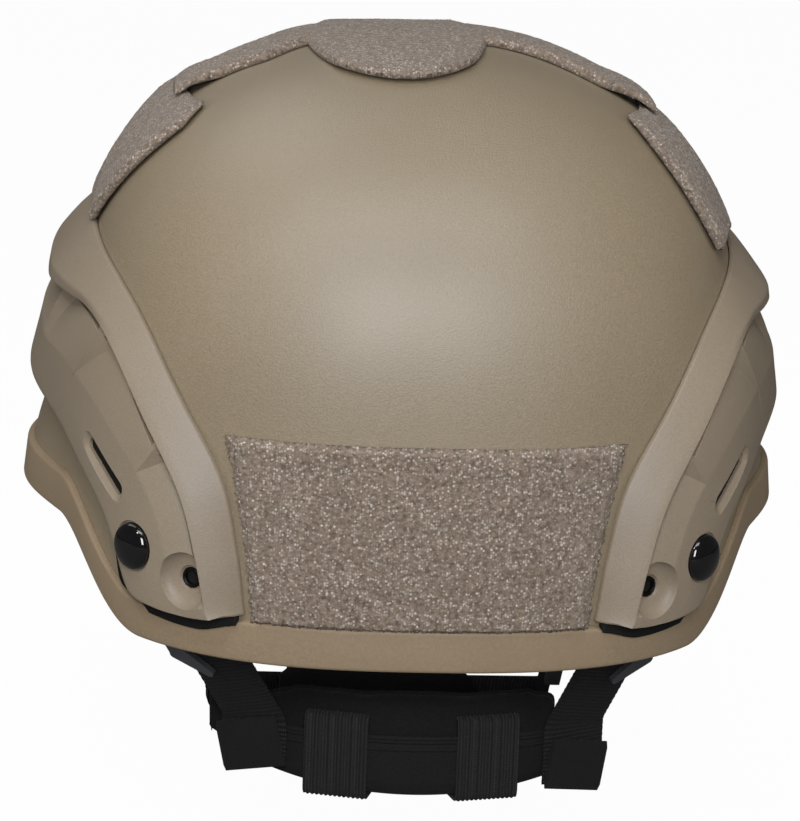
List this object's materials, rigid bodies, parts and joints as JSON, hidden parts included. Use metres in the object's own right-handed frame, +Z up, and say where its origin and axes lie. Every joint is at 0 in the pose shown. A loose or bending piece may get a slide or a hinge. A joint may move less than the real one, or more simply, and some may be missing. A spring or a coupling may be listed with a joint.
{
  "type": "combat helmet",
  "caption": "High-cut style combat helmet with side accessory rails, loop panels, padded liner and an adjustable chin and nape harness.",
  "frame": {"origin": "centre of the crown pad's lower face, where the head's crown rests", "axes": "+Z up, +Y the way the wearer looks, +X the wearer's right"},
  "size_m": [0.2594, 0.281, 0.2758],
  "materials": {
    "shell_paint": "satin, finely speckled",
    "trim_rubber": "matt",
    "rail_plastic": "satin",
    "black_screw": "gloss",
    "black_steel": "blackened",
    "loop_pile": "looped pile",
    "pad_cloth": "brushed cloth over foam",
    "hook_tape": "hook and loop tape",
    "webbing": "ribbed nylon",
    "elastic": "ribbed elastic",
    "grey_plastic": "satin",
    "black_plastic": "satin"
  },
  "bodies": {
    "helmet": {"shell": "shell_paint", "edge_trim": "trim_rubber", "rail_left": "rail_plastic", "rail_right": "rail_plastic", "rail_screws": "black_screw", "rail_nuts": "black_steel", "crown_loop": "loop_pile", "side_loop_left": "loop_pile", "side_loop_right": "loop_pile", "rear_loop": "loop_pile", "front_mount": "rail_plastic", "mount_screws": "black_screw", "mount_nuts": "black_steel", "pad_crown": "pad_cloth", "pad_front": "pad_cloth", "pad_rear": "pad_cloth", "pad_temple_left": "pad_cloth", "pad_temple_right": "pad_cloth", "pad_side_left": "pad_cloth", "pad_side_right": "pad_cloth", "pad_hooks": "hook_tape", "strap_anchors": "black_steel", "rear_strap_left": "webbing", "rear_strap_right": "webbing", "front_strap_left": "webbing", "front_strap_right": "webbing", "neck_strap": "webbing", "side_ring_left": "grey_plastic", "side_ring_right": "grey_plastic", "buckle_web": "webbing", "buckle_female": "black_plastic", "ladder_web": "webbing", "ladder_lock": "grey_plastic"},
    "chin": {"buckle_male": "black_plastic", "buckle_prongs": "black_plastic", "chin_strap": "webbing", "chin_cup": "pad_cloth"},
    "adjuster_left": {"rear_adjuster_left": "grey_plastic"},
    "adjuster_right": {"rear_adjuster_right": "grey_plastic"},
    "nape": {"nape_pad": "pad_cloth", "nape_loops": "elastic"},
    "tab_left": {"nape_tab_left": "hook_tape"},
    "tab_right": {"nape_tab_right": "hook_tape"}
  },
  "joints": [
    {"name": "buckle_release", "type": "slide", "parent": "helmet", "child": "chin", "axis": [0, 0.7431, -0.6691], "range_m": [0, 0.014], "deforming": ["buckle_prongs"]},
    {"name": "rear_adjuster_left_slide", "type": "slide", "parent": "helmet", "child": "adjuster_left", "axis": [0.4952, 0.1723, -0.8515], "range_m": [-0.003, 0.014]},
    {"name": "rear_adjuster_right_slide", "type": "slide", "parent": "helmet", "child": "adjuster_right", "axis": [-0.3934, 0.1823, -0.9011], "range_m": [-0.003, 0.014]},
    {"name": "nape_pad_swing", "type": "hinge", "parent": "helmet", "child": "nape", "pos_m": [0.0025, -0.003, -0.2], "axis": [0, 0, 1], "range_deg": [-3, 3]},
    {"name": "nape_tab_left_fold", "type": "hinge", "parent": "helmet", "child": "tab_left", "pos_m": [-0.06125, -0.08006, -0.1984], "axis": [0, 0, -1], "range_deg": [0, 75]},
    {"name": "nape_tab_right_fold", "type": "hinge", "parent": "helmet", "child": "tab_right", "pos_m": [0.06625, -0.08006, -0.2039], "axis": [0, 0, 1], "range_deg": [0, 75]}
  ]
}
